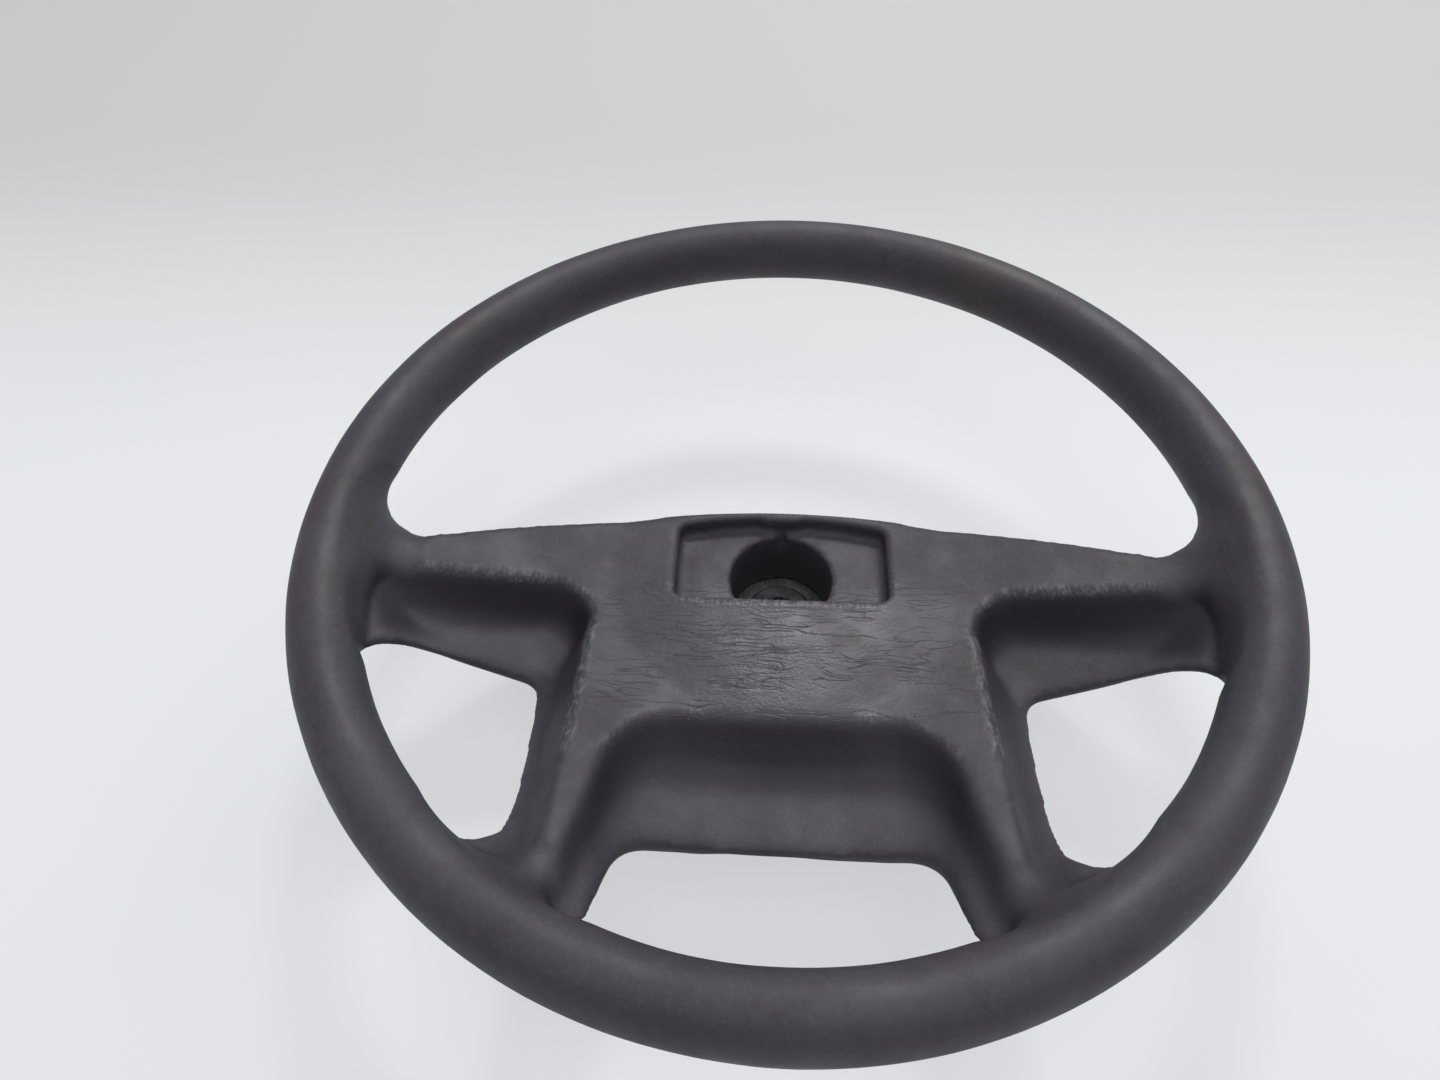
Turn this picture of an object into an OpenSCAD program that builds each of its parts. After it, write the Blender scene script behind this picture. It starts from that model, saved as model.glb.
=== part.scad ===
// Four-spoke car steering wheel: a self-skinned foam moulding over a steel armature.
// Millimetres. Z is the steering axis and points at the driver, Y points at 12 o'clock.
// The rear collar stands on z = 0 and the rim's middle plane is hub_depth above it.

/* [Grip] */
// Outer diameter of the grip
rim_outer_d = 380; // [340:1:420]
// Thickness of the grip across, seen from the front
grip_w = 24.6; // [20:0.2:34]
// Thickness of the grip from front to back
grip_t = 29.8; // [22:0.2:38]
// Distance from the rear collar to the middle plane of the grip
hub_depth = 100; // [80:1:120]

/* [Front surface] */
// Depth of the hub pad below the middle plane of the grip
pad_depth = 34; // [24:1:44]
// Radius at which the pad starts to rise to the grip
pad_flat_r = 72; // [60:1:85]
// Depth of the web where it runs into the grip
web_depth = 8; // [4:0.5:14]
// Radius at which the web runs into the grip
web_r = 166; // [160:1:172]
// How late the rise to the grip comes: 1 is a straight cone
rise_power = 1.15; // [1:0.05:2]

/* [Parting edge and back surface] */
// Depth of the parting edge beside the hub
part_depth = 53; // [44:1:60]
// Depth of the parting edge beside the grip
part_rim_depth = 8; // [3:0.5:12]
// Radius at which the parting edge starts to rise
part_flat_r = 92; // [80:1:110]
// How late the parting edge rises
part_power = 1.8; // [1:0.1:3]
// Thickness of the foam behind the parting edge
lip_t = 8; // [5:0.5:14]
// Extra thickness of the foam behind the hub
hub_lip_t = 7; // [0:0.5:12]

/* [Upper opening] */
// Height of the hub's top edge above the axis
top_edge_y = 32.5; // [24:0.5:38]
// Radius of the long arc of the top edge
top_edge_arc_r = 320; // [220:5:500]
// Corner radius of the opening beside the grip
upper_corner_r = 20; // [14:1:30]
// Roundness of the hub's top edge
top_edge_round = 4; // [2:0.5:7]

/* [Side openings] */
// Height of the ridge under a level spoke, beside the grip
ridge_out_y = -21; // [-30:0.5:-12]
// Height of the ridge under a level spoke, beside the pad
ridge_in_y = -10.5; // [-20:0.5:-5]
// Half width of the pad between the two side openings
pad_half_w = 77; // [68:0.5:86]
// Corner radius of the ridge beside the pad
ridge_corner_r = 17; // [10:1:26]
// Height of the parting edge under a level spoke, beside the grip
side_top_out_y = -48.5; // [-60:0.5:-42]
// Height of the parting edge under a level spoke, beside the pad
side_top_in_y = -51.5; // [-60:0.5:-42]
// Corner radius of a side opening beside the grip, at the top
side_top_out_r = 24; // [8:1:36]
// Corner radius of a side opening beside the pad, at the top
side_top_in_r = 8; // [4:0.5:16]
// Distance of the parting edge from the middle of the wheel, under a level spoke
side_in_x = 99.5; // [90:0.5:106]
// The same distance at the bottom of the side opening
side_low_x = 93; // [86:0.5:100]
// Lowest height of a side opening
side_low_y = -131; // [-138:0.5:-122]
// Radius of the lowest corner of a side opening
side_low_r = 10; // [6:0.5:16]

/* [Lower opening] */
// Height of the pad's lower ridge
pad_low_y = -69; // [-78:0.5:-60]
// Half width of the pad's lower ridge before its corners
pad_low_half_w = 60; // [50:0.5:68]
// Corner radius of the pad's lower ridge
pad_low_corner_r = 26; // [14:1:36]
// Distance of the ridge from the middle of the wheel where it meets the grip
leg_ridge_x = 79; // [72:0.5:84]
// Height of the edge of the lower skirt
skirt_y = -118.5; // [-126:0.5:-108]
// Half width of the lower opening at the skirt
skirt_half_w = 55; // [46:0.5:62]
// Half width of the lower opening at the grip
low_half_w = 62; // [54:0.5:68]
// Corner radius of the lower opening beside the skirt
skirt_corner_r = 12; // [6:0.5:20]

/* [Badge recess] */
// Width of the recess
recess_w = 90; // [70:1:110]
// Depth of the recess
recess_depth = 8; // [4:0.5:12]
// Height of the recess's lower wall
recess_low_y = -15.3; // [-22:0.1:-10]
// Height of the arched upper wall in the middle
recess_top_y = 27.3; // [20:0.1:29]
// Radius of the arched upper wall
recess_arc_r = 185; // [120:5:320]
// Corner radius of the recess
recess_corner_r = 3; // [1:0.5:6]
// Width of the locating bump in the upper wall
bump_w = 15; // [8:0.5:24]
// How far the locating bump stands out of the upper wall
bump_h = 1.6; // [0.5:0.1:4]
// Radius of the nut access hole
nut_hole_r = 22; // [16:0.5:26]
// Width of the narrow neck above the nut access hole
neck_w = 3.2; // [2:0.1:8]
// Depth of the neck below the recess floor
neck_depth = 7; // [3:0.5:12]

/* [Rear shroud] */
// Outer radius of the rear collar
collar_r = 58; // [50:1:66]
// Radius of the shroud's root under the hub
shroud_root_r = 96; // [84:1:104]
// Depth of the shroud's root below the middle plane of the grip
shroud_root_depth = 68; // [56:1:72]
// Radius of the rear hollow at its mouth
hollow_mouth_r = 50; // [42:1:54]
// Radius of the rear hollow at its roof
hollow_roof_r = 42; // [34:1:46]

/* [Armature] */
// Radius of the round bar of the rim ring
ring_bar_r = 5; // [3:0.5:7]
// Radius of the hub plate
plate_r = 48; // [44:1:56]
// Thickness of the hub plate
plate_t = 4; // [2:0.5:6]
// Depth of the hub plate's front face below the middle plane of the grip
plate_depth = 74; // [66:1:78]
// Radius of the boss behind the plate
boss_r = 12; // [10:0.5:14]
// Radius of the boss's flange in front of the plate
boss_flange_r = 15; // [13:0.5:15]
// Thickness of the boss's flange
boss_flange_t = 5; // [3:0.5:6]
// Length of the boss behind the plate
boss_tail = 16; // [12:1:30]
// Radius of the column bore
bore_r = 8.5; // [7:0.1:12]
// Width of the straps to the level spokes
strap_w = 14; // [10:1:20]
// Width of the straps to the lower legs
leg_strap_w = 10; // [8:1:16]
// Thickness of the straps
strap_t = 4; // [2:0.5:6]
// Droop of the straps in the level spokes
strap_droop = 4.5; // [0:0.5:8]
// Direction of the straps in the lower legs, below the horizontal
leg_strap_angle = 57.7; // [50:0.1:64]

/* [Hidden] */
// One node's name, or all
$fn = 32;
ring_fn = 90;
section_fn = 20;
bar_fn = 8;
fit_gap = 0.12;
tiny = 0.01;
rim_z = hub_depth;
grip_r = (rim_outer_d - grip_w) / 2;
grip_in_r = rim_outer_d / 2 - grip_w;
inside_r = grip_r + 1;
plate_z = rim_z - plate_depth;
recess_z = rim_z - pad_depth - recess_depth;
boss_front_z = plate_z + boss_flange_t;
boss_back_z = plate_z - plate_t - boss_tail;
above_z = rim_z + 2 * grip_t;
below_z = -2 * grip_t;

// Front surface: flat pad, then a rise to the grip
function rise(r) = pow(max(0, (r - pad_flat_r) / (web_r - pad_flat_r)), rise_power);
function front_z(r) = rim_z - pad_depth + (pad_depth - web_depth) * min(1, rise(r));
// Parting edge: the narrowest outline of the openings
function part_rise(r) = pow(max(0, (r - part_flat_r) / (grip_in_r - part_flat_r)), part_power);
function part_z(r) = rim_z - part_depth + (part_depth - part_rim_depth) * min(1, part_rise(r));

// Corners: [x, y, radius]; the outline runs anticlockwise, straights are split too
arc_n = 6;
line_n = 5;
function unit(v) = v / norm(v);
function flat(p) = [p[0], p[1]];
function turn(a, b) = atan2(a[0] * b[1] - a[1] * b[0], a * b);
function arc_points(p, q, s) =
    let (a = unit(flat(q) - flat(p)), b = unit(flat(s) - flat(q)), w = turn(a, b),
        reach = q[2] * tan(abs(w) / 2), start = flat(q) - a * reach,
        side = w > 0 ? 1 : -1, centre = start + side * q[2] * [-a[1], a[0]], from = start - centre)
    [for (i = [0 : arc_n]) let (t = w * i / arc_n)
        centre + [from[0] * cos(t) - from[1] * sin(t), from[0] * sin(t) + from[1] * cos(t)]];
function outline(c) =
    let (n = len(c), arcs = [for (i = [0 : n - 1]) arc_points(c[(i + n - 1) % n], c[i], c[(i + 1) % n])])
    [for (i = [0 : n - 1]) let (from = arcs[i][arc_n], to = arcs[(i + 1) % n][0])
        each concat(arcs[i], [for (k = [1 : line_n - 1]) from + (to - from) * k / line_n])];
function ring_at(top, low, share, z_share, lift) =
    [for (i = [0 : len(top) - 1]) let (p = top[i] + (low[i] - top[i]) * share,
        z0 = front_z(norm(top[i])), z1 = min(part_z(norm(low[i])), front_z(norm(low[i])) - edge_drop))
        [p[0], p[1], z0 + (min(z1, z0 - edge_drop) - z0) * z_share + lift]];
function spread(points, middle, by) = [for (p = points) p + unit(p - middle) * by];
function level(points, z) = [for (p = points) [p[0], p[1], z]];

// A solid through rings of points, from the lowest to the highest
module loft(rings) {
    n = len(rings[0]);
    m = len(rings);
    function at(k, i) = k * n + i % n;
    polyhedron(points = [for (ring = rings) each ring],
        faces = concat([[for (i = [0 : n - 1]) i]], [[for (i = [0 : n - 1]) m * n - 1 - i]],
            [for (k = [0 : m - 2], i = [0 : n - 1]) [at(k, i), at(k + 1, i), at(k + 1, i + 1)]],
            [for (k = [0 : m - 2], i = [0 : n - 1]) [at(k, i), at(k + 1, i + 1), at(k, i + 1)]]));
}

// Cove from a ridge to the parting edge: [share across, share down]
cove = [[0.03, 0.02], [0.09, 0.12], [0.2, 0.34], [0.34, 0.63], [0.46, 0.83], [0.58, 0.94], [0.74, 0.98],
    [0.9, 1], [0.97, 1.03]];
ridge_lift = 0.8;
ridge_back = 0.07;
edge_drop = 4;
lip_fall = 1.2;
flare = 6;

module opening(top_corners, low_corners, middle) {
    top = outline(top_corners);
    low = outline(low_corners);
    last = len(cove) - 1;
    part_ring = ring_at(top, low, 1, 1, -lip_fall);
    back_ring = [for (p = part_ring) [p[0], p[1], p[2] - lip_t - hub_lip_t]];
    wide = spread(low, middle, flare);
    first = ring_at(top, low, -ridge_back, 0, ridge_lift);
    loft(concat([level(wide, below_z)],
        [[for (i = [0 : len(low) - 1]) [wide[i][0], wide[i][1], back_ring[i][2]]]],
        [part_ring],
        [for (k = [last : -1 : 0]) ring_at(top, low, cove[k][0], cove[k][1], 0)],
        [first], [level([for (p = first) flat(p)], above_z)]));
}

side_mid = [126, -80];
rim_mid_a = 37;
rim_half_a = 17.6;
module side_opening() {
    far_r = inside_r / cos(rim_half_a);
    far = [far_r * cos(rim_mid_a), -far_r * sin(rim_mid_a), inside_r * 0.5];
    opening([[pad_half_w, ridge_in_y, ridge_corner_r], [pad_half_w + 2, side_low_y - 16, side_low_r],
            far, [inside_r - 4, ridge_out_y, side_low_r]],
        [[side_in_x, side_top_in_y, side_top_in_r], [side_low_x, side_low_y, side_low_r],
            far, [inside_r - 8, side_top_out_y, side_top_out_r]], side_mid);
}

low_mid = [0, -140];
module lower_opening() {
    bow = inside_r * 0.6;
    opening([[-pad_low_half_w, pad_low_y, pad_low_corner_r], [-leg_ridge_x, -bow * 1.5, side_low_r],
            [0, -inside_r * 1.12, inside_r * 0.7], [leg_ridge_x, -bow * 1.5, side_low_r],
            [pad_low_half_w, pad_low_y, pad_low_corner_r]],
        [[-skirt_half_w, skirt_y, skirt_corner_r], [-low_half_w, -bow * 1.54, side_low_r / 2],
            [0, -inside_r * 1.07, inside_r * 0.7], [low_half_w, -bow * 1.54, side_low_r / 2],
            [skirt_half_w, skirt_y, skirt_corner_r]], low_mid);
}

upper_mid = [0, 95];
edge_half = 148;
edge_n = 34;
corner_n = 7;
far_n = 18;
far_gap = 4;
function top_edge(x) = top_edge_y - x * x / (2 * top_edge_arc_r);
function shroud_edge(x) = sqrt(max(0, pow(collar_r + 5, 2) - x * x));
function around(r, t) = r * [cos(t), sin(t)];
function upper_outline(back) =
    let (cy = top_edge(edge_half) + upper_corner_r,
        cx = sqrt(pow(grip_in_r + edge_drop - upper_corner_r, 2) - cy * cy), a0 = atan2(cy, cx),
        a1 = a0 + far_gap, a2 = 180 - a1, quarter = 90 + a0,
        corner = [for (i = [1 : corner_n]) around(upper_corner_r, quarter * i / corner_n - 90)])
    concat([for (i = [0 : edge_n]) let (x = edge_half * (2 * i / edge_n - 1))
            [x, back ? max(top_edge(x) + 2, shroud_edge(x)) : top_edge(x)]],
        [for (p = corner) [cx + p[0], cy + p[1]]],
        [for (i = [0 : far_n]) around(inside_r, a1 + (a2 - a1) * i / far_n)],
        [for (i = [corner_n - 1 : -1 : 0]) [-cx - corner[i][0], cy + corner[i][1]]]);
function at_front(points, drop) = [for (p = points) [p[0], p[1], front_z(norm(p)) - drop]];
module upper_opening() {
    edge = upper_outline(false);
    back = upper_outline(true);
    round1 = spread(edge, upper_mid, top_edge_round);
    round2 = spread(edge, upper_mid, top_edge_round * 0.45);
    round3 = spread(edge, upper_mid, top_edge_round * 0.12);
    loft([level(back, below_z), level(back, rim_z - hub_depth * 0.92), at_front(edge, top_edge_round * 1.6),
        at_front(round3, top_edge_round * 0.9), at_front(round2, top_edge_round * 0.3),
        at_front(round1, -0.6), level(round1, above_z)]);
}

// Grip: an oval turned round the axis
module grip() {
    translate([0, 0, rim_z])
        rotate_extrude($fn = ring_fn)
            translate([grip_r, 0])
                scale([1, grip_t / grip_w])
                    circle(d = grip_w, $fn = section_fn);
}

// Hub, spokes and shroud before the openings are cut
web_steps = 6;
back_steps = 5;
module dish() {
    back_root_z = rim_z - shroud_root_depth;
    rotate_extrude($fn = ring_fn)
        polygon(concat(
            [[0, rim_z - plate_depth]], [[0, rim_z - pad_depth]],
            [for (i = [0 : web_steps])
                let (r = pad_flat_r + (web_r - pad_flat_r) * i / web_steps)
                [r, front_z(r)]],
            [[grip_r, rim_z - web_depth]], [[grip_r, rim_z - grip_t / 2.4]],
            [for (i = [back_steps : -1 : 1])
                let (r = shroud_root_r + (grip_in_r - shroud_root_r) * i / back_steps)
                [r, part_z(r) - lip_t - hub_lip_t * (1 - part_rise(r))]],
            [[shroud_root_r - 2, back_root_z]], [[shroud_root_r - 10, back_root_z - 6]],
            [[collar_r + 16, back_root_z * 0.6]], [[collar_r + 6, back_root_z * 0.3]],
            [[collar_r + 1, back_root_z * 0.08]], [[collar_r - 1, 0]], [[0, 0]]));
}

// Badge recess with its arched upper wall and locating bump
module recess_shape() {
    offset(r = recess_corner_r)
        offset(delta = -recess_corner_r)
            intersection() {
                translate([-recess_w / 2, recess_low_y])
                    square([recess_w, recess_top_y - recess_low_y]);
                translate([0, recess_top_y - recess_arc_r])
                    circle(r = recess_arc_r, $fn = ring_fn * 2);
            }
}

module recess() {
    translate([0, 0, recess_z])
        linear_extrude(pad_depth)
            difference() {
                recess_shape();
                translate([-bump_w / 2, recess_top_y - bump_h])
                    square([bump_w, bump_w]);
            }
    // Nut access hole, cut flat by the recess's lower wall
    translate([0, 0, plate_z])
        linear_extrude(recess_z - plate_z + tiny)
            intersection() {
                circle(r = nut_hole_r, $fn = ring_fn / 2);
                translate([-nut_hole_r, recess_low_y])
                    square([2 * nut_hole_r, 2 * nut_hole_r]);
            }
    // Neck between the hole and the upper wall
    translate([-neck_w / 2, 0, recess_z - neck_depth])
        cube([neck_w, recess_top_y - bump_h - 0.6, neck_depth + 1]);
}

// Hollow at the back for the column head
module rear_hollow() {
    translate([0, 0, -tiny])
        cylinder(h = plate_z - plate_t + tiny, r1 = hollow_mouth_r, r2 = hollow_roof_r, $fn = ring_fn / 2);
}

// Steel ring inside the grip
module ring_bar(gap = 0) {
    translate([0, 0, rim_z])
        rotate_extrude($fn = ring_fn)
            translate([grip_r, 0])
                circle(r = ring_bar_r + gap, $fn = bar_fn);
}

// Bent flat straps: [radius, depth of the upper face, shift towards the side opening]
level_path = [[plate_r - 6, plate_depth, 0], [plate_r + 16, plate_depth - 1, 0],
    [plate_r + 44, plate_depth - 12, 0], [grip_r - 62, 44, 0], [grip_r - 38, 26, 0],
    [grip_r - 18, 15, 0], [grip_r, 0, 0]];
leg_path = [[plate_r - 6, plate_depth, 0], [plate_r + 16, plate_depth - 1, 0], [plate_r + 42, 63, 1],
    [grip_r - 64, 57, 3], [grip_r - 50, 47, 3], [grip_r - 34, 33, 1], [grip_r - 20, 17, -6],
    [grip_r, 0, -6]];
module strap(path, width, angle) {
    difference() {
        rotate([0, 0, angle])
            for (i = [0 : len(path) - 2])
                hull() {
                    strap_bend(path[i], width);
                    strap_bend(path[i + 1], width);
                }
        ring_bar();
        translate([0, 0, plate_z - 3 * plate_t])
            cylinder(h = 6 * plate_t, r = plate_r, $fn = ring_fn);
        // Outer side of the ring stays clear
        difference() {
            cylinder(h = above_z, r = rim_outer_d, $fn = ring_fn);
            translate([0, 0, -tiny])
                cylinder(h = above_z + 2 * tiny, r = grip_r - ring_bar_r / 2, $fn = ring_fn);
        }
    }
}

module strap_bend(at, width) {
    translate([at[0], at[2] + width / 2, rim_z - at[1] - strap_t / 2])
        rotate([90, 0, 0])
            cylinder(h = width, r = strap_t / 2, $fn = bar_fn);
}

module plate_disc(gap = 0) {
    translate([0, 0, plate_z - plate_t])
        cylinder(h = plate_t, r = plate_r + gap, $fn = ring_fn);
}

module level_strap() {
    strap(level_path, strap_w, -strap_droop);
}

module leg_strap() {
    strap(leg_path, leg_strap_w, -leg_strap_angle);
}

module all_straps() {
    level_strap();
    leg_strap();
    mirror([1, 0, 0]) {
        level_strap();
        leg_strap();
    }
}

module moulded_shape() {
    difference() {
        union() {
            grip();
            difference() {
                dish();
                upper_opening();
                side_opening();
                mirror([1, 0, 0])
                    side_opening();
                lower_opening();
            }
        }
        recess();
        rear_hollow();
    }
}

module foam_moulding() {
    color([0.2, 0.2, 0.22])
        difference() {
            moulded_shape();
            ring_bar(fit_gap);
            plate_disc(fit_gap);
            all_straps();
        }
}

module rim_ring() {
    color([0.45, 0.45, 0.47])
        ring_bar();
}

module spoke_bar_left() {
    color([0.45, 0.45, 0.47])
        mirror([1, 0, 0])
            level_strap();
}

module spoke_bar_right() {
    color([0.45, 0.45, 0.47])
        level_strap();
}

module spoke_bar_lower_left() {
    color([0.45, 0.45, 0.47])
        mirror([1, 0, 0])
            leg_strap();
}

module spoke_bar_lower_right() {
    color([0.45, 0.45, 0.47])
        leg_strap();
}

module hub_plate() {
    color([0.5, 0.5, 0.52])
        difference() {
            plate_disc();
            translate([0, 0, plate_z - 2 * plate_t])
                cylinder(h = 3 * plate_t, r = boss_r, $fn = ring_fn);
        }
}

module hub_boss() {
    color([0.6, 0.6, 0.62])
        rotate_extrude($fn = ring_fn)
            polygon([[bore_r, boss_back_z], [boss_r - 1, boss_back_z], [boss_r, boss_back_z + 1],
                [boss_r, plate_z], [boss_flange_r, plate_z], [boss_flange_r, boss_front_z - 1],
                [boss_flange_r - 1, boss_front_z], [bore_r, boss_front_z]]);
}

foam_moulding();
rim_ring();
spoke_bar_left();
spoke_bar_right();
spoke_bar_lower_left();
spoke_bar_lower_right();
hub_plate();
hub_boss();
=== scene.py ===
import math

import bpy
import numpy as np
from mathutils import Matrix, Vector
from mathutils.kdtree import KDTree


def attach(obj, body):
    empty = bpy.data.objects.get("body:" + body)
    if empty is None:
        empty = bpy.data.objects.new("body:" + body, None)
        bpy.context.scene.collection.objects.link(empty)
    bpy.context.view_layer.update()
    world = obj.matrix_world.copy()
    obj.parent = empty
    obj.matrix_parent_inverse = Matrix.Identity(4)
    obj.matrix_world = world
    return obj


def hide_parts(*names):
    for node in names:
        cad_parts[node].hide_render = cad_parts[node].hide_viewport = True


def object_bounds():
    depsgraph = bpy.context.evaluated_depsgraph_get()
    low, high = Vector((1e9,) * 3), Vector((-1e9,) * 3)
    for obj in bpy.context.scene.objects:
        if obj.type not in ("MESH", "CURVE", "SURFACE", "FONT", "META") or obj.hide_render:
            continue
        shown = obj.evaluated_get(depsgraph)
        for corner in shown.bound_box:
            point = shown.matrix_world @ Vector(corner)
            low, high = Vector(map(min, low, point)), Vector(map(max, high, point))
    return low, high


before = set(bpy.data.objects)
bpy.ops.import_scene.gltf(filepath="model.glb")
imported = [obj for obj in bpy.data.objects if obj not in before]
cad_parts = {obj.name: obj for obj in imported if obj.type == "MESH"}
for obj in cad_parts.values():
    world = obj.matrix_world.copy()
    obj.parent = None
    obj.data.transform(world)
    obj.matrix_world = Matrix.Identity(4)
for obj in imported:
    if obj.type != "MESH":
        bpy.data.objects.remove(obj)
cad_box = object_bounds()

# Sizes repeated from the CAD source, in metres
RIM_Z = 0.100
GRIP_R = 0.1777
GRIP_A = 0.0123
GRIP_B = 0.0149
PAD_DEPTH = 0.034
PAD_R = 0.072
WEB_R = 0.166
WEB_DEPTH = 0.008
RISE = 1.15
INSIDE_R = 0.1787
PART_R = 0.092
PART_DEPTH = 0.053
PART_RIM_DEPTH = 0.008
PART_POWER = 1.8
EDGE_DROP = 0.004
ARC_STEPS = 12
EDGE_STEPS = 20
FAR_ANGLE = math.radians(37)
FAR_LEAN = math.radians(17.6)

# Cove profiles: share of the way from ridge to parting edge, and share of the depth reached there
OLD_COVE = ((0, 0.03, 0.09, 0.2, 0.34, 0.46, 0.58, 0.74, 0.9, 1),
            (0, 0.02, 0.12, 0.34, 0.63, 0.83, 0.94, 0.98, 1, 1))
SIDE_COVE = ((0, 0.05, 0.14, 0.3, 0.6, 0.85, 1), (0, 0.03, 0.15, 0.40, 0.80, 0.96, 0.985))
LOW_COVE = ((0, 0.05, 0.14, 0.3, 0.6, 0.85, 1), (0, 0.03, 0.18, 0.52, 1.02, 1.16, 1.18))

# Where the steep wall ends, as a share of the way to the parting edge
LOW_FOOT = 0.54
SIDE_FOOT = 0.78
SPOKE_FOOT = 0.42
RIM_FOOT = 0.92
LIP_POWER = 1.6
COVE_SAMPLES = 41
OUTLINE_SAMPLES = 6

# Skin mesh: at 45 degrees to the grid the long straight edges come out without steps
VOXEL = 0.0018
GRID_TURN = math.pi / 4
WEB_BLEND = 0.019
BLEND_ROUNDS = 260

# Nicks by the left spoke's ridge and a small tear: place, radius and depth
NICKS = [(-0.1375, -0.0195, 0.086, 0.0021, 0.0011), (-0.128, -0.0175, 0.083, 0.0019, 0.0010),
         (-0.1205, -0.0155, 0.081, 0.0016, 0.0009), (-0.0985, -0.052, 0.052, 0.0034, 0.0012)]

FOAM_AND_BURIED = ["foam_moulding", "rim_ring", "spoke_bar_left", "spoke_bar_right",
                   "spoke_bar_lower_left", "spoke_bar_lower_right"]
ARMATURE = FOAM_AND_BURIED[1:] + ["hub_plate", "hub_boss"]

FLOOR_HALF = 6.0
FLOOR_GLOW = 0.65
SKY_LIGHT = 0.42
SKY_SEEN = 0.72


# Small mesh helpers

def link_new(name, data):
    ob = bpy.data.objects.new(name, data)
    bpy.context.scene.collection.objects.link(ob)
    return ob


def arrays(me):
    co = np.empty(len(me.vertices) * 3, np.float64)
    me.vertices.foreach_get("co", co)
    return co.reshape(-1, 3)


def set_arrays(me, co):
    me.vertices.foreach_set("co", co.astype(np.float32).ravel())
    me.update()


def edges_of(me):
    e = np.empty(len(me.edges) * 2, np.int64)
    me.edges.foreach_get("vertices", e)
    return e.reshape(-1, 2)


def normals_of(me):
    n = np.empty(len(me.vertices) * 3, np.float64)
    me.vertices.foreach_get("normal", n)
    return n.reshape(-1, 3)


def attribute(me, name, values):
    at = me.attributes.new(name, "FLOAT", "POINT")
    at.data.foreach_set("value", np.asarray(values, np.float32))


def tree_of(points):
    tree = KDTree(len(points))
    for i, p in enumerate(points):
        tree.insert(p, i)
    tree.balance()
    return tree


def neighbour_mean(e, co, n):
    total = np.zeros((n, co.shape[1]))
    count = np.zeros(n)
    for a, b in ((0, 1), (1, 0)):
        for k in range(co.shape[1]):
            total[:, k] += np.bincount(e[:, a], weights=co[e[:, b], k], minlength=n)
        count += np.bincount(e[:, a], minlength=n)
    return total / np.maximum(count, 1)[:, None]


def mean_reach(e, co):
    n = len(co)
    d = np.linalg.norm(co[e[:, 0]] - co[e[:, 1]], axis=1)
    total = np.bincount(e[:, 0], weights=d, minlength=n) + np.bincount(e[:, 1], weights=d, minlength=n)
    count = np.bincount(e[:, 0], minlength=n) + np.bincount(e[:, 1], minlength=n)
    return total / np.maximum(count, 1)


def smooth(e, co, weight, rounds, step=0.5, back=0.0):
    n = len(co)
    w = weight[:, None]
    for _ in range(rounds):
        co = co + (neighbour_mean(e, co, n) - co) * w * step
        if back:
            co = co - (neighbour_mean(e, co, n) - co) * w * back
    return co


def spread(e, values, rounds):
    for _ in range(rounds):
        mean = neighbour_mean(e, values[:, None], len(values))[:, 0]
        values = values + (mean - values) * 0.7
    return values


def step01(x, a, b):
    t = np.clip((x - a) / (b - a), 0.0, 1.0)
    return t * t * (3 - 2 * t)


def hash01(i, j, seed):
    h = np.sin(i * 127.1 + j * 311.7 + seed * 74.7) * 43758.5453
    return h - np.floor(h)


def value_noise(x, y, seed):
    i, j = np.floor(x), np.floor(y)
    u, v = x - i, y - j
    u, v = u * u * (3 - 2 * u), v * v * (3 - 2 * v)
    a = hash01(i, j, seed) * (1 - u) + hash01(i + 1, j, seed) * u
    b = hash01(i, j + 1, seed) * (1 - u) + hash01(i + 1, j + 1, seed) * u
    return a * (1 - v) + b * v


def bulge(me, e, co):
    """Curvature of the surface: positive on ridges, negative in hollows."""
    lap = co - neighbour_mean(e, co, len(co))
    return np.einsum("ij,ij->i", lap, normals_of(me)) / mean_reach(e, co) ** 2


# Heights of the CAD's dish and of its parting edges

def front_z(r):
    t = np.clip((r - PAD_R) / (WEB_R - PAD_R), 0.0, 1.0)
    return RIM_Z - PAD_DEPTH + (PAD_DEPTH - WEB_DEPTH) * t ** RISE


def part_z(r):
    t = np.clip((r - PART_R) / (GRIP_R - GRIP_A - PART_R), 0.0, 1.0)
    return RIM_Z - PART_DEPTH + (PART_DEPTH - PART_RIM_DEPTH) * t ** PART_POWER


# Coves of the openings: the CAD's rings again, with a steeper wall and a clear foot

def arc_points(p, q, t):
    p, q, t, rad = Vector(p[:2]), Vector(q[:2]), Vector(t[:2]), q[2]
    a, b = (q - p).normalized(), (t - q).normalized()
    turn = math.atan2(a.x * b.y - a.y * b.x, a.dot(b))
    side = 1 if turn > 0 else -1
    start = q - a * rad * math.tan(abs(turn) / 2)
    centre = start + side * rad * Vector((-a.y, a.x))
    arm = start - centre
    points = []
    for i in range(ARC_STEPS + 1):
        c, s = math.cos(turn * i / ARC_STEPS), math.sin(turn * i / ARC_STEPS)
        points.append(centre + Vector((arm.x * c - arm.y * s, arm.x * s + arm.y * c)))
    return points


def outline(corners):
    n = len(corners)
    arcs = [arc_points(corners[i - 1], corners[i], corners[(i + 1) % n]) for i in range(n)]
    points = []
    for i in range(n):
        a, b = arcs[i][-1], arcs[(i + 1) % n][0]
        points += arcs[i] + [a + (b - a) * k / EDGE_STEPS for k in range(1, EDGE_STEPS)]
    points.append(points[0])
    at = np.arange(len(points))
    fine = np.linspace(0, at[-1], at[-1] * OUTLINE_SAMPLES, endpoint=False)
    return np.stack([np.interp(fine, at, [q[k] for q in points]) for k in (0, 1)], 1)


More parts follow.
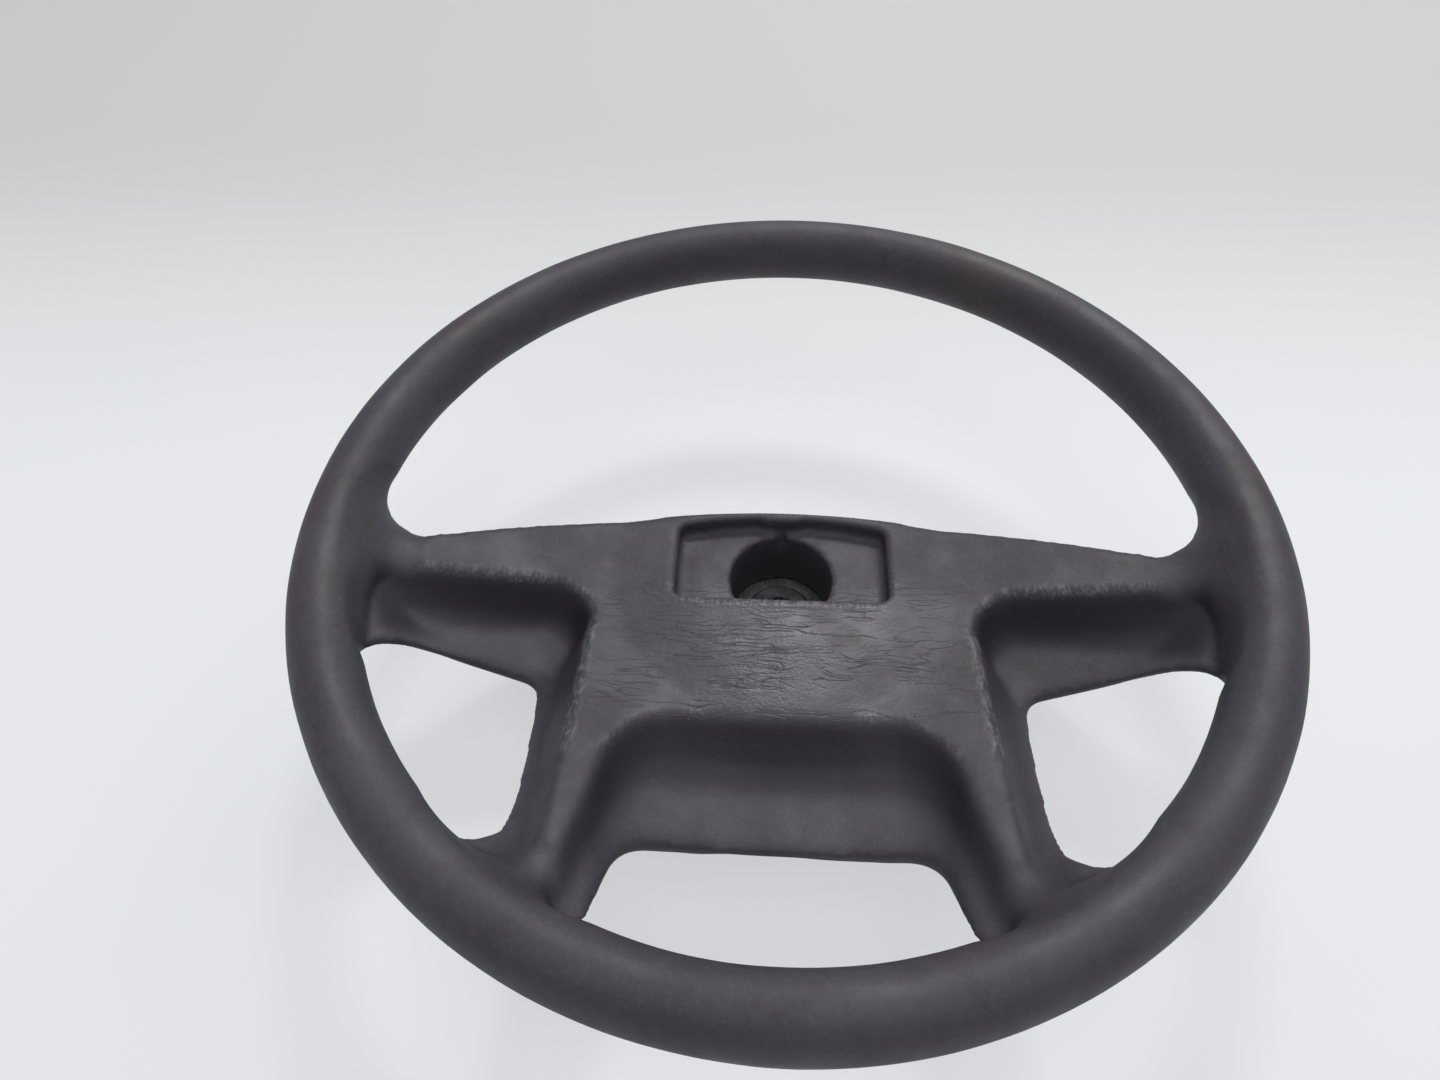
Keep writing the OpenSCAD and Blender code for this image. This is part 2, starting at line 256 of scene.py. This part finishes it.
def foot_shares(low, side):
    """Foot of the wall along one opening, and how much of the wall's painted shade that stretch gets."""
    if not side:
        return np.full(len(low), LOW_FOOT), np.ones(len(low))
    upper = step01(low[:, 1], -0.062, -0.056)
    along = SPOKE_FOOT + (RIM_FOOT - SPOKE_FOOT) * step01(np.abs(low[:, 0]), 0.104, 0.160)
    return SIDE_FOOT * (1 - upper) + along * upper, upper


def cove_samples(top, low, side):
    """Points of one cove seen from above, their height in the CAD, the move and the painted shade of the
    wall.
    """
    top, low = outline(top), outline(low)
    share = np.linspace(0, 1, COVE_SAMPLES)
    xy = top[:, None] + (low - top)[:, None] * share[None, :, None]
    z0, far = front_z(np.hypot(*top.T)), np.hypot(*low.T)
    z1 = np.minimum(np.minimum(part_z(far), front_z(far) - EDGE_DROP), z0 - EDGE_DROP)
    foot, upper = foot_shares(low, side)
    profile = SIDE_COVE if side else LOW_COVE
    end = profile[1][-1]
    before = np.interp(share, *OLD_COVE)
    reach = share[None] / foot[:, None]
    beyond = np.clip((share[None] - foot[:, None]) / (1 - foot[:, None]), 0, 1)
    after = np.where(reach < 1, np.interp(reach, *profile), end + (1 - end) * beyond ** LIP_POWER)
    depth = (z1 - z0)[:, None]
    # Painted shade for the wall: from just below the ridge to about the foot, weaker along the side
    # openings' lower stretches
    painted_shade = step01(reach, 1.12, 0.86) * step01(reach, 0.02, 0.16) * (0.55 + 0.45 * upper[:, None])
    return (xy.reshape(-1, 2), (z0[:, None] + depth * before[None]).ravel(),
            (depth * (after - before[None])).ravel(), painted_shade.ravel())


def side_corners():
    far_r = INSIDE_R / math.cos(FAR_LEAN)
    far = (far_r * math.cos(FAR_ANGLE), -far_r * math.sin(FAR_ANGLE), INSIDE_R * 0.5)
    top = [(0.077, -0.0105, 0.017), (0.079, -0.147, 0.010), far, (INSIDE_R - 0.004, -0.021, 0.010)]
    low = [(0.0995, -0.0515, 0.008), (0.093, -0.131, 0.010), far, (INSIDE_R - 0.008, -0.0485, 0.024)]
    return top, low


def low_corners():
    bow = INSIDE_R * 0.6
    wide = INSIDE_R * 0.7
    top = [(-0.060, -0.069, 0.026), (-0.079, -bow * 1.5, 0.010), (0, -INSIDE_R * 1.12, wide),
           (0.079, -bow * 1.5, 0.010), (0.060, -0.069, 0.026)]
    low = [(-0.055, -0.1185, 0.012), (-0.062, -bow * 1.54, 0.005), (0, -INSIDE_R * 1.07, wide),
           (0.062, -bow * 1.54, 0.005), (0.055, -0.1185, 0.012)]
    return top, low


def recut_coves(me, co):
    """Move the front of the coves to the new profiles. Gives the points and the painted shade for the
    coves' walls.
    """
    right = cove_samples(*side_corners(), True)
    left = (right[0] * np.array([-1, 1]),) + right[1:]
    parts = [right, cove_samples(*low_corners(), False), left]
    xy, old, move, painted_shade = (np.concatenate(a) for a in zip(*parts))
    tree = tree_of([(q[0], q[1], 0.0) for q in xy])
    set_arrays(me, co)
    up = normals_of(me)[:, 2]
    r = np.hypot(co[:, 0], co[:, 1])
    shift, wall = np.zeros(len(co)), np.zeros(len(co))
    for i in np.flatnonzero((up > 0.02) & (co[:, 1] < -0.004) & (r < WEB_R) & (co[:, 2] > 0.038)):
        near = tree.find_n((co[i, 0], co[i, 1], 0.0), 3)
        if near[0][2] > 0.0025:
            continue
        w = np.array([1 / (q[2] + 1e-5) for q in near])
        k = [q[1] for q in near]
        off = abs(co[i, 2] - (old[k] * w).sum() / w.sum())
        on = step01(off, 0.0040, 0.0022)
        shift[i] = (move[k] * w).sum() / w.sum() * on
        wall[i] = (painted_shade[k] * w).sum() / w.sum() * on
    co = co.copy()
    co[:, 2] += shift
    return co, wall


# Steps of the foam skin

def joined_cad(names, turn):
    verts, faces, base = [], [], 0
    for name in names:
        me = bpy.data.objects[name].data
        co = arrays(me)
        verts.append(co)
        faces += [tuple(i + base for i in p.vertices) for p in me.polygons]
        base += len(co)
    me = bpy.data.meshes.new("foam_skin")
    me.from_pydata((np.concatenate(verts) @ turn).tolist(), [], faces)
    me.update()
    return me


def remesh(ob):
    mod = ob.modifiers.new("remesh", "REMESH")
    mod.mode = "VOXEL"
    mod.voxel_size = VOXEL
    mod.use_smooth_shade = True
    deps = bpy.context.evaluated_depsgraph_get()
    me = bpy.data.meshes.new_from_object(ob.evaluated_get(deps))
    ob.modifiers.clear()
    ob.data = me
    return me


def crisp_places(co):
    """1 in the recess, the access hole and the rear hollow, which stay crisp, and 0 elsewhere."""
    x, y, z = co.T
    recess = step01(np.abs(x), 0.058, 0.050) * step01(y, -0.026, -0.019) * step01(z, 0.050, 0.054)
    hollow = (np.hypot(x, y) < 0.052) & (z < 0.0605)
    return np.clip(np.maximum(recess, hollow), 0, 1)


def seat_on_grip(co):
    x, y, z = co.T
    r = np.hypot(x, y)
    p, q = (r - GRIP_R) / GRIP_A, (z - RIM_Z) / GRIP_B
    s = np.sqrt(p * p + q * q)
    off = (s - 1) * min(GRIP_A, GRIP_B)
    w = step01(np.abs(off), 0.0011, 0.0004)
    k = 1 / np.maximum(s, 1e-6)
    f = (GRIP_R + (r - GRIP_R) * k) / np.maximum(r, 1e-6)
    target = np.stack([x * f, y * f, RIM_Z + (z - RIM_Z) * k], 1)
    return co + (target - co) * w[:, None]


def seat_on_dish(me, co):
    set_arrays(me, co)
    up = normals_of(me)[:, 2]
    r = np.hypot(co[:, 0], co[:, 1])
    dz = front_z(r) - co[:, 2]
    w = step01(np.abs(dz), 0.0009, 0.0003) * step01(up, 0.90, 0.96) * (r < 0.160)
    co[:, 2] += dz * w
    return co


def blend_web(me, e, co):
    """Smooth the front around the crease where the spokes' webs meet the grip."""
    set_arrays(me, co)
    up = normals_of(me)[:, 2]
    r, z = np.hypot(co[:, 0], co[:, 1]), co[:, 2]
    under = front_z(np.minimum(r, WEB_R)) - z
    curve = spread(e, bulge(me, e, co), 2)
    crease = (curve < -35) & (r > 0.156) & (r < 0.171) & (under < 0.003) & (up > 0.1)
    near = (r > 0.135) & (r < 0.186) & (z > RIM_Z - 0.030)
    tree = tree_of(co[crease])
    d = np.full(len(co), 1.0)
    for i in np.flatnonzero(near):
        d[i] = tree.find(co[i])[2]
    w = step01(d, WEB_BLEND, WEB_BLEND * 0.4) * step01(under, 0.0040, 0.0008)
    return smooth(e, co, w, BLEND_ROUNDS)


def wavy(co, n, free):
    """Slight waviness of a hand-worn moulding."""
    x, y, z = co.T
    wave = (value_noise(np.arctan2(y, x) * 9 + 20, z * 60, 3) - 0.5) * 0.00022
    wave += (value_noise(x * 60, y * 60, 5) - 0.5) * 0.00018
    return co + n * (wave * free)[:, None]


def nicked(co, n):
    for cx, cy, cz, rad, deep in NICKS:
        d = np.linalg.norm(co - np.array([cx, cy, cz]), axis=1)
        co = co - n * (deep * step01(d, rad * 1.6, rad * 0.3))[:, None]
    return co


def mark_surface(me, e, co, curve, wall):
    """Attributes that the material reads."""
    ridge = spread(e, curve, 8)
    hollow = spread(e, ridge, 40)
    x, y, z = co.T
    up = normals_of(me)[:, 2]
    front = step01(np.abs(z - front_z(np.hypot(x, y))), 0.0055, 0.0030)
    front = front * step01(y, -0.002, -0.009) * step01(y, -0.104, -0.084)
    pad = step01(np.abs(x), 0.088, 0.066) * step01(y, -0.078, -0.066) * step01(y, 0.004, -0.016)
    attribute(me, "ridge", np.clip(ridge / 60.0, -1, 1) * front)
    # hollow: concave places, darkened in the material as painted shade
    attribute(me, "hollow", np.clip(hollow / 25.0, -1, 1))
    attribute(me, "pad", pad * step01(up, 0.8, 0.95))
    attribute(me, "shine", pad * step01(up, 0.9, 0.98) * step01(np.abs(x - 0.006), 0.074, 0.020))
    # wall: painted shade for the coves' walls
    attribute(me, "wall", spread(e, wall, 4))


# Foam moulding: one closed surface from the CAD solid, with the steel buried in it

def make_foam():
    c, s = math.cos(GRID_TURN), math.sin(GRID_TURN)
    turn = np.array([[c, s, 0], [-s, c, 0], [0, 0, 1]])
    ob = link_new("foam_skin", joined_cad(FOAM_AND_BURIED, turn))
    me = remesh(ob)
    co = arrays(me) @ turn.T
    e = edges_of(me)
    free = 1 - crisp_places(co)

    co = smooth(e, co, np.ones(len(co)), 4, 0.5, 0.42)
    co = smooth(e, co, free, 12, 0.5, 0.44)
    # wall: painted shade for the coves' walls, read by the material
    co, wall = recut_coves(me, co)
    co = smooth(e, co, free, 6, 0.5, 0.4)
    for _ in range(2):
        co = seat_on_grip(co)
        co = seat_on_dish(me, co)
        co = smooth(e, co, free, 3)
    co = blend_web(me, e, co)

    set_arrays(me, co)
    n = normals_of(me)
    curve = bulge(me, e, co)
    co = nicked(wavy(co, n, free), n)
    low, high = (np.array(p) for p in cad_box)
    co = np.clip(co, low, high)
    set_arrays(me, co)
    mark_surface(me, e, co, curve, wall)
    for poly in me.polygons:
        poly.use_smooth = True
    return ob


# Splines of the column bore: a toothed sleeve inside the plain bore

def make_splines():
    teeth, r_root, r_tip, r_sleeve = 36, 0.0085, 0.0080, 0.00852
    z0, z1 = 0.0066, 0.0304
    inner, outer = [], []
    for i in range(teeth):
        for k, rad in ((0.0, r_root), (0.28, r_root), (0.42, r_tip), (0.72, r_tip), (0.86, r_root)):
            a = 2 * math.pi * (i + k) / teeth
            inner.append((rad * math.cos(a), rad * math.sin(a)))
            outer.append((r_sleeve * math.cos(a), r_sleeve * math.sin(a)))
    n = len(inner)
    verts = [p + (z,) for ring in (inner, outer) for z in (z0, z1) for p in ring]
    faces = []
    for i in range(n):
        j = (i + 1) % n
        faces.append((i, n + i, n + j, j))
        faces.append((2 * n + i, 2 * n + j, 3 * n + j, 3 * n + i))
        faces.append((n + i, 3 * n + i, 3 * n + j, n + j))
        faces.append((i, j, 2 * n + j, 2 * n + i))
    me = bpy.data.meshes.new("bore_splines")
    me.from_pydata(verts, [], faces)
    me.update()
    return link_new("bore_splines", me)


# Shader helpers

class Nodes:
    def __init__(self, name):
        self.mat = bpy.data.materials.new(name)
        self.mat.use_nodes = True
        self.tree = self.mat.node_tree
        self.tree.nodes.clear()
        self.out = self.tree.nodes.new("ShaderNodeOutputMaterial")
        self.bsdf = self.tree.nodes.new("ShaderNodeBsdfPrincipled")
        self.tree.links.new(self.bsdf.outputs["BSDF"], self.out.inputs["Surface"])

    def new(self, kind, **sockets):
        node = self.tree.nodes.new(kind)
        for key, value in sockets.items():
            self.put(node, key, value)
        return node

    def put(self, node, key, value):
        socket = node.inputs[key.replace("_", " ")] if isinstance(key, str) else node.inputs[key]
        if hasattr(value, "links") and hasattr(value, "node"):
            self.tree.links.new(value, socket)
        else:
            socket.default_value = value

    def set(self, key, value):
        self.put(self.bsdf, key, value)

    def position(self):
        return self.new("ShaderNodeTexCoord").outputs["Object"]

    def math(self, op, a, b=0.0):
        node = self.tree.nodes.new("ShaderNodeMath")
        node.operation = op
        self.put(node, 0, a)
        self.put(node, 1, b)
        return node.outputs[0]

    def times(self, *values):
        out = values[0]
        for v in values[1:]:
            out = self.math("MULTIPLY", out, v)
        return out

    def remap(self, value, a, b, lo=0.0, hi=1.0):
        node = self.tree.nodes.new("ShaderNodeMapRange")
        node.clamp = True
        node.interpolation_type = "SMOOTHSTEP"
        for key, v in (("Value", value), ("From Min", a), ("From Max", b), ("To Min", lo), ("To Max", hi)):
            self.put(node, key, v)
        return node.outputs[0]

    def mix(self, fac, a, b):
        node = self.tree.nodes.new("ShaderNodeMix")
        node.data_type = "RGBA"
        self.put(node, 0, fac)
        self.put(node, 6, a)
        self.put(node, 7, b)
        return node.outputs[2]

    def noise(self, vector, scale, detail=2.0, rough=0.5, distortion=0.0):
        node = self.new("ShaderNodeTexNoise", Vector=vector, Scale=scale, Detail=detail,
                        Roughness=rough, Distortion=distortion)
        return node.outputs["Fac"]

    def cells(self, vector, scale, softness):
        node = self.tree.nodes.new("ShaderNodeTexVoronoi")
        node.feature = "SMOOTH_F1"
        self.put(node, "Vector", vector)
        self.put(node, "Scale", scale)
        self.put(node, "Smoothness", softness)
        return node.outputs["Distance"]

    def crease(self, vector, scale):
        ripple = self.math("ABSOLUTE", self.math("SUBTRACT", self.noise(vector, scale, 1.0, 0.4), 0.5))
        return self.remap(ripple, 0.028, 0.0)

    def stretch(self, vector, scale, turn=(0, 0, 0)):
        return self.new("ShaderNodeMapping", Vector=vector, Scale=scale, Rotation=turn).outputs["Vector"]

    def shifted(self, vector, by):
        node = self.new("ShaderNodeVectorMath")
        node.operation = "ADD"
        self.put(node, 0, vector)
        self.put(node, 1, by)
        return node.outputs[0]

    def bump(self, strength, distance, height, normal=None):
        node = self.new("ShaderNodeBump", Strength=strength, Distance=distance, Height=height)
        if normal is not None:
            self.put(node, "Normal", normal)
        return node.outputs[0]

    def attr(self, name):
        node = self.tree.nodes.new("ShaderNodeAttribute")
        node.attribute_name = name
        return node.outputs["Fac"]


# Foam: worn charcoal skin with grain, creases on the pad, pale bristles on the ridges that are partly worn
# skin and partly painted highlight, and painted shade in the coves

def foam_colour(g, pos, wear_and_highlight):
    """Charcoal with a warm and a cool drift, mottled and specked, with painted shade on the coves' walls
    and in hollows, and pale ridges that are partly painted highlight.
    """
    warm = g.noise(pos, 9.0, 2.0, 0.5, 0.6)
    drift = g.noise(pos, 14.0, 3.0, 0.55)
    blotch = g.noise(pos, 70.0, 5.0, 0.7)
    speck = g.noise(pos, 420.0, 3.0, 0.7)
    fine = g.noise(pos, 900.0, 2.0, 0.6)
    base = g.mix(g.remap(warm, 0.35, 0.65), (0.045, 0.045, 0.059, 1), (0.060, 0.047, 0.055, 1))
    base = g.mix(g.remap(drift, 0.40, 0.72), base, (0.062, 0.060, 0.074, 1))
    base = g.mix(g.remap(blotch, 0.48, 0.70, 0.0, 0.55), base, (0.040, 0.033, 0.036, 1))
    base = g.mix(g.remap(speck, 0.50, 0.72, 0.0, 0.30), base, (0.092, 0.090, 0.100, 1))
    base = g.mix(g.remap(fine, 0.45, 0.8, 0.0, 0.25), base, (0.085, 0.084, 0.090, 1))

    # Painted shade on the coves' walls and in hollows, pale ridges that are partly worn skin and partly
    # painted highlight, rare pale scuffs
    base = g.mix(g.times(g.attr("wall"), 0.80), base, (0.015, 0.011, 0.018, 1))
    # Pale ridges: partly worn skin, partly painted highlight
    base = g.mix(g.times(wear_and_highlight, 0.60), base, (0.19, 0.19, 0.20, 1))
    # Painted shade: concave places darkened with a purple tint
    hollow_shade = g.remap(g.attr("hollow"), -0.10, -0.55)
    base = g.mix(g.times(hollow_shade, 0.35), base, (0.026, 0.020, 0.029, 1))
    scuff = g.noise(g.stretch(pos, (1.0, 2.4, 1.0), (0, 0, 0.7)), 46.0, 5.0, 0.75)
    return g.mix(g.times(g.remap(scuff, 0.70, 0.76), 0.5), base, (0.16, 0.155, 0.155, 1))


def pad_creases(g, pos):
    """Lines drawn across the pad in four directions, each in patches of its own."""
    lift = g.new("ShaderNodeCombineXYZ", Y=g.times(g.noise(pos, 42.0, 2.0, 0.5), 0.007))
    bent = g.shifted(pos, lift.outputs[0])
    where = g.remap(g.noise(g.stretch(pos, (0.6, 1.0, 1.0)), 60.0, 2.0, 0.5), 0.30, 0.55)
    lines = 0.0
    for turn, scale, patch, depth in ((-0.08, 240.0, 120.0, 1.0), (0.24, 210.0, 90.0, 0.9),
                                      (-0.42, 260.0, 110.0, 0.7), (0.85, 190.0, 80.0, 0.5)):
        stroke = g.crease(g.stretch(bent, (0.16, 1.0, 1.0), (0, 0, turn)), scale)
        patches = g.noise(g.stretch(pos, (0.4, 1.0, 1.0), (0, 0, turn)), patch, 1.0, 0.5)
        lines = g.math("ADD", lines, g.times(g.remap(patches, 0.44, 0.60), depth, stroke))
    return g.times(g.attr("pad"), -1.0, where, lines)


def foam_material():
    g = Nodes("worn_foam_skin")
    pos = g.position()
    ridge = g.attr("ridge")
    hair = g.noise(g.stretch(pos, (1.0, 0.35, 1.0)), 620.0, 3.0, 0.7)
    wear_and_highlight = g.times(g.remap(ridge, 0.22, 0.62), g.remap(hair, 0.42, 0.66))
    g.set("Base Color", foam_colour(g, pos, wear_and_highlight))

    rough = g.remap(g.noise(pos, 38.0, 3.0, 0.6), 0.3, 0.7, 0.50, 0.64)
    rough = g.math("SUBTRACT", rough, g.times(wear_and_highlight, 0.06))
    rough = g.math("SUBTRACT", rough, g.times(g.attr("shine"), 0.17))
    g.set("Roughness", rough)
    g.set("Specular IOR Level", 0.42)

    # Grain of small rounded cells and finer pores, then the creases, then the ridges' bristles
    cell = g.times(g.cells(pos, 820.0, 0.5), -0.35)
    pore = g.times(g.noise(pos, 2100.0, 2.0, 0.6), 0.20)
    grain = g.bump(0.55, 0.00028, g.math("ADD", cell, pore))
    creased = g.bump(0.55, 0.00028, pad_creases(g, pos), grain)
    g.set("Normal", g.bump(0.5, 0.0007, g.times(hair, g.remap(ridge, 0.2, 0.6)), creased))
    return g.mat


# Steel: streaks along the tool's way, and rust spots

def steel_material(name, tint, turned):
    g = Nodes(name)
    pos = g.position()
    streak = g.noise(g.stretch(pos, (1.0, 1.0, 14.0) if turned else (6.0, 1.0, 1.0)), 160.0, 4.0, 0.6)
    rust = g.noise(pos, 85.0, 5.0, 0.65)
    spots = g.remap(rust, 0.56, 0.70)
    dark = tuple(c * 0.55 for c in tint) + (1,)
    base = g.mix(g.remap(streak, 0.3, 0.7), dark, tint + (1,))
    g.set("Base Color", g.mix(g.times(spots, 0.75), base, (0.13, 0.060, 0.032, 1)))
    g.set("Metallic", g.math("SUBTRACT", 0.9, g.times(spots, 0.7)))
    g.set("Roughness", g.remap(rust, 0.4, 0.7, 0.42, 0.78))
    g.set("Normal", g.bump(0.4, 0.0002, g.math("ADD", streak, rust)))
    return g.mat


foam = make_foam()
foam.data.materials.clear()
foam.data.materials.append(foam_material())
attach(foam, "root")
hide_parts("foam_moulding")

steel = steel_material("armature_steel", (0.30, 0.30, 0.31), False)
boss_steel = steel_material("boss_steel", (0.20, 0.20, 0.21), True)
for name in ARMATURE:
    ob = bpy.data.objects[name]
    ob.data.materials.clear()
    ob.data.materials.append(boss_steel if name == "hub_boss" else steel)

splines = make_splines()
splines.data.materials.append(boss_steel)
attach(splines, "root")


# Stage: a pale floor, greyer far away, that glows a little for the camera's own rays

def floor_material():
    g = Nodes("pale_floor")
    pos = g.position()
    near = g.mix(g.noise(pos, 6.0, 3.0, 0.5), (0.81, 0.83, 0.86, 1), (0.85, 0.86, 0.88, 1))
    far = g.remap(g.new("ShaderNodeSeparateXYZ", Vector=pos).outputs["Y"], 0.05, 0.50)
    pale = g.mix(far, near, (0.62, 0.63, 0.62, 1))
    g.set("Base Color", pale)
    g.set("Roughness", 0.5)
    g.set("Specular IOR Level", 0.2)
    glow = g.new("ShaderNodeEmission", Color=pale, Strength=1.0)
    seen = g.new("ShaderNodeLightPath").outputs["Is Camera Ray"]
    blend = g.new("ShaderNodeMixShader")
    g.put(blend, 0, g.times(seen, FLOOR_GLOW))
    g.put(blend, 1, g.bsdf.outputs["BSDF"])
    g.put(blend, 2, glow.outputs["Emission"])
    g.put(g.out, "Surface", blend.outputs["Shader"])
    return g.mat


def make_floor():
    me = bpy.data.meshes.new("floor")
    h = FLOOR_HALF
    me.from_pydata([(-h, -h, 0), (h, -h, 0), (h, h, 0), (-h, h, 0)], [], [(0, 1, 2, 3)])
    ob = link_new("floor", me)
    ob.location = (0, 0, -0.0002)
    me.materials.append(floor_material())
    return ob


def make_sky(scene):
    world = bpy.data.worlds.new("studio")
    scene.world = world
    world.use_nodes = True
    tree = world.node_tree
    sky = tree.nodes["Background"]
    sky.inputs["Color"].default_value = (0.93, 0.95, 1.0, 1)
    ray = tree.nodes.new("ShaderNodeLightPath")
    level = tree.nodes.new("ShaderNodeMapRange")
    level.inputs["To Min"].default_value = SKY_LIGHT
    level.inputs["To Max"].default_value = SKY_SEEN
    tree.links.new(ray.outputs["Is Camera Ray"], level.inputs["Value"])
    tree.links.new(level.outputs["Result"], sky.inputs["Strength"])


def area(name, at, to, size, power, color):
    light = bpy.data.lights.new(name, "AREA")
    light.shape = "RECTANGLE"
    light.size, light.size_y = size
    light.energy = power
    light.color = color
    ob = link_new(name, light)
    ob.location = at
    ob.rotation_euler = (Vector(to) - Vector(at)).to_track_quat("-Z", "Y").to_euler()


def make_camera(scene):
    """The photograph's own place and lens, carried into the wheel's frame."""
    data = bpy.data.cameras.new("camera")
    data.sensor_width = 36.0
    data.lens = 22.51
    data.clip_start = 0.01
    cam = link_new("camera", data)
    scene.camera = cam
    right = Vector((0.9984, 0.0525, -0.0217))
    down = Vector((0.0285, -0.7930, -0.6086))
    forward = Vector((-0.0491, 0.6070, -0.7932))
    rot = Matrix((right, -down, -forward)).transposed()
    cam.matrix_world = Matrix.Translation((-0.00767, -0.22508, 0.27815 + RIM_Z)) @ rot.to_4x4()


floor = make_floor()

scene = bpy.context.scene
make_sky(scene)
area("key", (0.72, 1.10, 1.30), (0, 0, 0.06), (0.9, 0.8), 8.5, (1.0, 0.99, 0.97))
area("sheen", (0.10, 1.05, 1.50), (0, -0.03, 0.06), (0.30, 0.25), 10.0, (0.97, 0.98, 1.0))
area("top", (0.1, -0.35, 1.75), (0, 0, 0.06), (1.0, 1.0), 5.5, (0.95, 0.96, 1.0))
make_camera(scene)
scene.view_settings.view_transform = "Standard"
